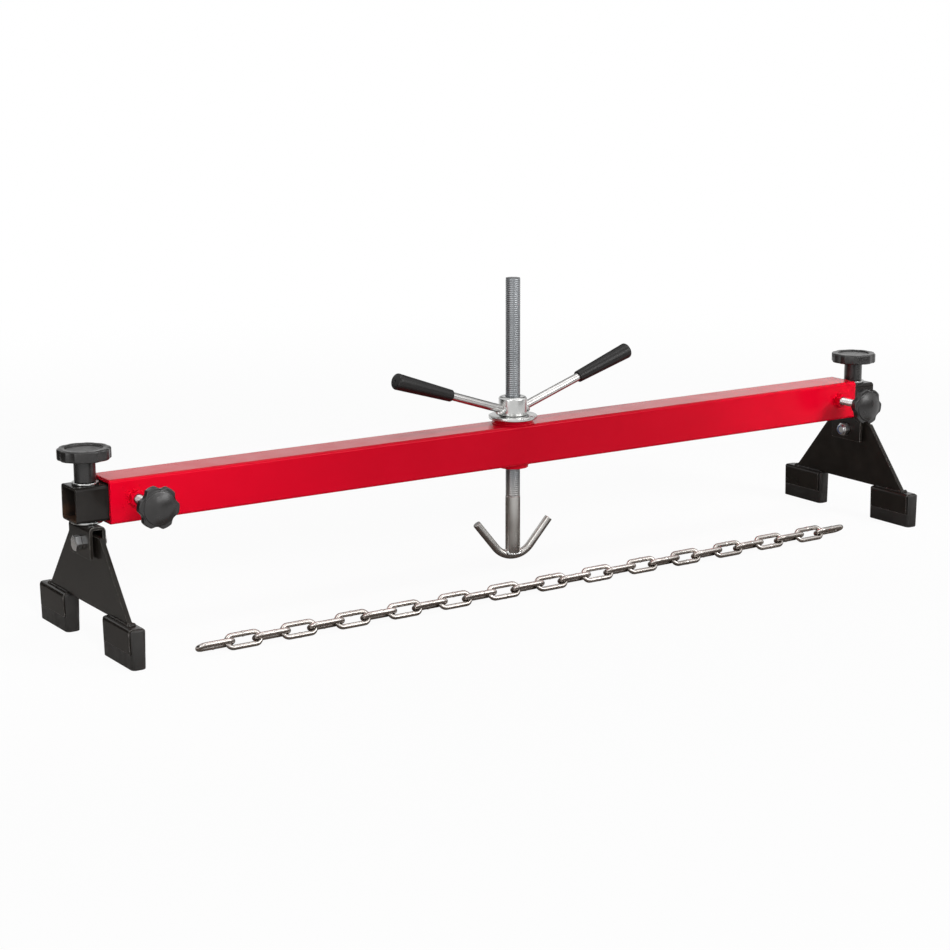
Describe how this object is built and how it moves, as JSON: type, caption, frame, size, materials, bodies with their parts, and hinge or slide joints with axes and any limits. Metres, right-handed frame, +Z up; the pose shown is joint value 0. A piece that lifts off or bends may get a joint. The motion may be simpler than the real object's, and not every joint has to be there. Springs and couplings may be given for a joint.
{
  "type": "engine support bar",
  "caption": "Telescopic steel beam on swivelling, tilting rubber-padded feet, with a screw-lifted hook rod in the middle, clamp knobs and a loose lifting chain.",
  "frame": {"origin": "on the floor under the middle of the beam, level with the soles of the pads", "axes": "+X along the beam towards the right foot, -Y the side of the clamp knobs and the chain, +Z up along the threaded rod"},
  "size_m": [1.1942, 0.2506, 0.366],
  "materials": {
    "red_paint": "gloss red powder coat",
    "black_paint": "gloss black paint",
    "zinc_steel": "bright zinc plating",
    "rod_steel": "plain drawn steel with a rolled thread",
    "chain_steel": "bright zinc-plated, welded steel links",
    "knob_plastic": "matte black moulded plastic",
    "grip_plastic": "satin black dipped plastic",
    "rubber": "dull black moulded rubber",
    "brass": "plain threaded insert"
  },
  "bodies": {
    "beam": {"beam_tube": "red_paint", "guide_bush": "red_paint", "thrust_washer": "zinc_steel"},
    "lift_nut": {"lift_nut": "zinc_steel", "left_grip": "grip_plastic", "right_grip": "grip_plastic"},
    "hook_rod": {"hook_rod": "rod_steel"},
    "left_arm": {"left_arm_tube": "black_paint", "left_upper_washer": "zinc_steel"},
    "left_clevis": {"left_clevis": "black_paint", "left_lower_washer": "zinc_steel", "left_pivot_bolt": "zinc_steel", "left_pivot_nut": "zinc_steel"},
    "left_foot": {"left_foot_frame": "black_paint", "left_front_pad": "rubber", "left_rear_pad": "rubber"},
    "right_arm": {"right_arm_tube": "black_paint", "right_upper_washer": "zinc_steel"},
    "right_clevis": {"right_clevis": "black_paint", "right_lower_washer": "zinc_steel", "right_pivot_bolt": "zinc_steel", "right_pivot_nut": "zinc_steel"},
    "right_foot": {"right_foot_frame": "black_paint", "right_front_pad": "rubber", "right_rear_pad": "rubber"},
    "left_knob_insert": {"left_knob_insert": "brass"},
    "left_hand_knob": {"left_hand_knob": "knob_plastic"},
    "right_knob_insert": {"right_knob_insert": "brass"},
    "right_hand_knob": {"right_hand_knob": "knob_plastic"},
    "left_clamp_stud": {"left_clamp_stud": "zinc_steel"},
    "left_clamp_knob": {"left_clamp_knob": "knob_plastic"},
    "right_clamp_stud": {"right_clamp_stud": "zinc_steel"},
    "right_clamp_knob": {"right_clamp_knob": "knob_plastic"},
    "chain_link_01": {"chain_link_01": "chain_steel"},
    "chain_link_02": {"chain_link_02": "chain_steel"},
    "chain_link_03": {"chain_link_03": "chain_steel"},
    "chain_link_04": {"chain_link_04": "chain_steel"},
    "chain_link_05": {"chain_link_05": "chain_steel"},
    "chain_link_06": {"chain_link_06": "chain_steel"},
    "chain_link_07": {"chain_link_07": "chain_steel"},
    "chain_link_08": {"chain_link_08": "chain_steel"},
    "chain_link_09": {"chain_link_09": "chain_steel"},
    "chain_link_10": {"chain_link_10": "chain_steel"},
    "chain_link_11": {"chain_link_11": "chain_steel"},
    "chain_link_12": {"chain_link_12": "chain_steel"},
    "chain_link_13": {"chain_link_13": "chain_steel"},
    "chain_link_14": {"chain_link_14": "chain_steel"},
    "chain_link_15": {"chain_link_15": "chain_steel"},
    "chain_link_16": {"chain_link_16": "chain_steel"},
    "chain_link_17": {"chain_link_17": "chain_steel"},
    "chain_link_18": {"chain_link_18": "chain_steel"},
    "chain_link_19": {"chain_link_19": "chain_steel"},
    "chain_link_20": {"chain_link_20": "chain_steel"},
    "chain_link_21": {"chain_link_21": "chain_steel"},
    "chain_link_22": {"chain_link_22": "chain_steel"},
    "chain_link_23": {"chain_link_23": "chain_steel"},
    "chain_link_24": {"chain_link_24": "chain_steel"},
    "chain_link_25": {"chain_link_25": "chain_steel"},
    "chain_link_26": {"chain_link_26": "chain_steel"},
    "chain_link_27": {"chain_link_27": "chain_steel"}
  },
  "joints": [
    {"name": "left_arm_slide", "type": "slide", "parent": "beam", "child": "left_arm", "axis": [-1, 0, 0], "range_m": [0, 0.3]},
    {"name": "right_arm_slide", "type": "slide", "parent": "beam", "child": "right_arm", "axis": [1, 0, 0], "range_m": [0, 0.3]},
    {"name": "left_foot_swivel", "type": "hinge", "parent": "left_arm", "child": "left_clevis", "pos_m": [-0.568, 0, 0.14], "axis": [0, 0, 1], "range_deg": [-15, 15]},
    {"name": "right_foot_swivel", "type": "hinge", "parent": "right_arm", "child": "right_clevis", "pos_m": [0.568, 0, 0.14], "axis": [0, 0, 1], "range_deg": [-15, 15]},
    {"name": "left_foot_tilt", "type": "hinge", "parent": "left_clevis", "child": "left_foot", "pos_m": [-0.568, 0, 0.116], "axis": [1, 0, 0], "range_deg": [-12, 12]},
    {"name": "right_foot_tilt", "type": "hinge", "parent": "right_clevis", "child": "right_foot", "pos_m": [0.568, 0, 0.116], "axis": [1, 0, 0], "range_deg": [-12, 12]},
    {"name": "lift_nut_turn", "type": "hinge", "parent": "beam", "child": "lift_nut", "pos_m": [0, 0, 0.2], "axis": [0, 0, 1], "range_deg": [-9360, 17280]},
    {"name": "hook_rod_lift", "type": "slide", "parent": "beam", "child": "hook_rod", "axis": [0, 0, 1], "range_m": [-0.12, 0.065]},
    {"name": "left_insert_travel", "type": "slide", "parent": "left_clevis", "child": "left_knob_insert", "axis": [0, 0, 1], "range_m": [0, 0.01225]},
    {"name": "left_hand_knob_turn", "type": "hinge", "parent": "left_knob_insert", "child": "left_hand_knob", "pos_m": [-0.568, 0, 0.2], "axis": [0, 0, 1], "range_deg": [0, 2520]},
    {"name": "right_insert_travel", "type": "slide", "parent": "right_clevis", "child": "right_knob_insert", "axis": [0, 0, 1], "range_m": [0, 0.01225]},
    {"name": "right_hand_knob_turn", "type": "hinge", "parent": "right_knob_insert", "child": "right_hand_knob", "pos_m": [0.568, 0, 0.2], "axis": [0, 0, 1], "range_deg": [0, 2520]},
    {"name": "left_clamp_travel", "type": "slide", "parent": "beam", "child": "left_clamp_stud", "axis": [0, -1, 0], "range_m": [0, 0.012]},
    {"name": "left_clamp_turn", "type": "hinge", "parent": "left_clamp_stud", "child": "left_clamp_knob", "pos_m": [-0.52, -0.075, 0.1637], "axis": [0, -1, 0], "range_deg": [0, 2880]},
    {"name": "right_clamp_travel", "type": "slide", "parent": "beam", "child": "right_clamp_stud", "axis": [0, -1, 0], "range_m": [0, 0.012]},
    {"name": "right_clamp_turn", "type": "hinge", "parent": "right_clamp_stud", "child": "right_clamp_knob", "pos_m": [0.52, -0.075, 0.1637], "axis": [0, -1, 0], "range_deg": [0, 2880]},
    {"name": "chain_link_14_lift", "type": "slide", "parent": "beam", "child": "chain_link_14", "axis": [0, 0, 1], "range_m": [0, 0.1]},
    {"name": "chain_link_15_hinge", "type": "hinge", "parent": "chain_link_14", "child": "chain_link_15", "pos_m": [0.00405, -0.10574, 0.00879], "axis": [-0.0068, 0.5446, 0.8387], "range_deg": [-20, 20]},
    {"name": "chain_link_13_hinge", "type": "hinge", "parent": "chain_link_14", "child": "chain_link_13", "pos_m": [-0.03725, -0.10626, 0.00879], "axis": [-0.0068, 0.5446, 0.8387], "range_deg": [-20, 20]},
    {"name": "chain_link_16_hinge", "type": "hinge", "parent": "chain_link_15", "child": "chain_link_16", "pos_m": [0.03905, -0.1053, 0.00879], "axis": [0.0105, -0.8386, 0.5446], "range_deg": [-20, 20]},
    {"name": "chain_link_12_hinge", "type": "hinge", "parent": "chain_link_13", "child": "chain_link_12", "pos_m": [-0.07225, -0.1067, 0.00879], "axis": [0.0105, -0.8386, 0.5446], "range_deg": [-20, 20]},
    {"name": "chain_link_17_hinge", "type": "hinge", "parent": "chain_link_16", "child": "chain_link_17", "pos_m": [0.07404, -0.10486, 0.00879], "axis": [0.0068, -0.5446, -0.8387], "range_deg": [-20, 20]},
    {"name": "chain_link_11_hinge", "type": "hinge", "parent": "chain_link_12", "child": "chain_link_11", "pos_m": [-0.10724, -0.10714, 0.00879], "axis": [0.0068, -0.5446, -0.8387], "range_deg": [-20, 20]},
    {"name": "chain_link_18_hinge", "type": "hinge", "parent": "chain_link_17", "child": "chain_link_18", "pos_m": [0.10904, -0.10442, 0.00879], "axis": [-0.0105, 0.8386, -0.5446], "range_deg": [-20, 20]},
    {"name": "chain_link_10_hinge", "type": "hinge", "parent": "chain_link_11", "child": "chain_link_10", "pos_m": [-0.14224, -0.10758, 0.00879], "axis": [-0.0105, 0.8386, -0.5446], "range_deg": [-20, 20]},
    {"name": "chain_link_19_hinge", "type": "hinge", "parent": "chain_link_18", "child": "chain_link_19", "pos_m": [0.14404, -0.10398, 0.00879], "axis": [-0.0068, 0.5446, 0.8387], "range_deg": [-20, 20]},
    {"name": "chain_link_09_hinge", "type": "hinge", "parent": "chain_link_10", "child": "chain_link_09", "pos_m": [-0.17724, -0.10802, 0.00879], "axis": [-0.0068, 0.5446, 0.8387], "range_deg": [-20, 20]},
    {"name": "chain_link_20_hinge", "type": "hinge", "parent": "chain_link_19", "child": "chain_link_20", "pos_m": [0.17903, -0.10354, 0.00879], "axis": [0.0105, -0.8386, 0.5446], "range_deg": [-20, 20]},
    {"name": "chain_link_08_hinge", "type": "hinge", "parent": "chain_link_09", "child": "chain_link_08", "pos_m": [-0.21224, -0.10846, 0.00879], "axis": [0.0105, -0.8386, 0.5446], "range_deg": [-20, 20]},
    {"name": "chain_link_21_hinge", "type": "hinge", "parent": "chain_link_20", "child": "chain_link_21", "pos_m": [0.21403, -0.1031, 0.00879], "axis": [0.0068, -0.5446, -0.8387], "range_deg": [-40, 40]},
    {"name": "chain_link_07_hinge", "type": "hinge", "parent": "chain_link_08", "child": "chain_link_07", "pos_m": [-0.24723, -0.1089, 0.00879], "axis": [0.0068, -0.5446, -0.8387], "range_deg": [-40, 40]},
    {"name": "chain_link_22_hinge", "type": "hinge", "parent": "chain_link_21", "child": "chain_link_22", "pos_m": [0.24903, -0.10266, 0.00879], "axis": [-0.0105, 0.8386, -0.5446], "range_deg": [-40, 40]},
    {"name": "chain_link_06_hinge", "type": "hinge", "parent": "chain_link_07", "child": "chain_link_06", "pos_m": [-0.28223, -0.10934, 0.00879], "axis": [-0.0105, 0.8386, -0.5446], "range_deg": [-40, 40]},
    {"name": "chain_link_23_hinge", "type": "hinge", "parent": "chain_link_22", "child": "chain_link_23", "pos_m": [0.28403, -0.10222, 0.00879], "axis": [-0.0068, 0.5446, 0.8387], "range_deg": [-40, 40]},
    {"name": "chain_link_05_hinge", "type": "hinge", "parent": "chain_link_06", "child": "chain_link_05", "pos_m": [-0.31723, -0.10978, 0.00879], "axis": [-0.0068, 0.5446, 0.8387], "range_deg": [-40, 40]},
    {"name": "chain_link_24_hinge", "type": "hinge", "parent": "chain_link_23", "child": "chain_link_24", "pos_m": [0.31902, -0.10178, 0.00879], "axis": [0.0105, -0.8386, 0.5446], "range_deg": [-40, 40]},
    {"name": "chain_link_04_hinge", "type": "hinge", "parent": "chain_link_05", "child": "chain_link_04", "pos_m": [-0.35222, -0.11022, 0.00879], "axis": [0.0105, -0.8386, 0.5446], "range_deg": [-40, 40]},
    {"name": "chain_link_25_hinge", "type": "hinge", "parent": "chain_link_24", "child": "chain_link_25", "pos_m": [0.35402, -0.10134, 0.00879], "axis": [0.0068, -0.5446, -0.8387], "range_deg": [-60, 60]},
    {"name": "chain_link_03_hinge", "type": "hinge", "parent": "chain_link_04", "child": "chain_link_03", "pos_m": [-0.38722, -0.11066, 0.00879], "axis": [0.0068, -0.5446, -0.8387], "range_deg": [-60, 60]},
    {"name": "chain_link_26_hinge", "type": "hinge", "parent": "chain_link_25", "child": "chain_link_26", "pos_m": [0.38902, -0.1009, 0.00879], "axis": [-0.0105, 0.8386, -0.5446], "range_deg": [-60, 60]},
    {"name": "chain_link_02_hinge", "type": "hinge", "parent": "chain_link_03", "child": "chain_link_02", "pos_m": [-0.42222, -0.1111, 0.00879], "axis": [-0.0105, 0.8386, -0.5446], "range_deg": [-60, 60]},
    {"name": "chain_link_27_hinge", "type": "hinge", "parent": "chain_link_26", "child": "chain_link_27", "pos_m": [0.42401, -0.10046, 0.00879], "axis": [-0.0068, 0.5446, 0.8387], "range_deg": [-60, 60]},
    {"name": "chain_link_01_hinge", "type": "hinge", "parent": "chain_link_02", "child": "chain_link_01", "pos_m": [-0.45721, -0.11154, 0.00879], "axis": [-0.0068, 0.5446, 0.8387], "range_deg": [-60, 60]}
  ],
  "couplings": [
    {"joint": "hook_rod_lift", "follows": "lift_nut_turn", "m_per_rad": -0.00039789},
    {"joint": "left_insert_travel", "follows": "left_hand_knob_turn", "m_per_rad": 0.00027852},
    {"joint": "right_insert_travel", "follows": "right_hand_knob_turn", "m_per_rad": 0.00027852},
    {"joint": "left_clamp_travel", "follows": "left_clamp_turn", "m_per_rad": 0.00023873},
    {"joint": "right_clamp_travel", "follows": "right_clamp_turn", "m_per_rad": 0.00023873}
  ]
}
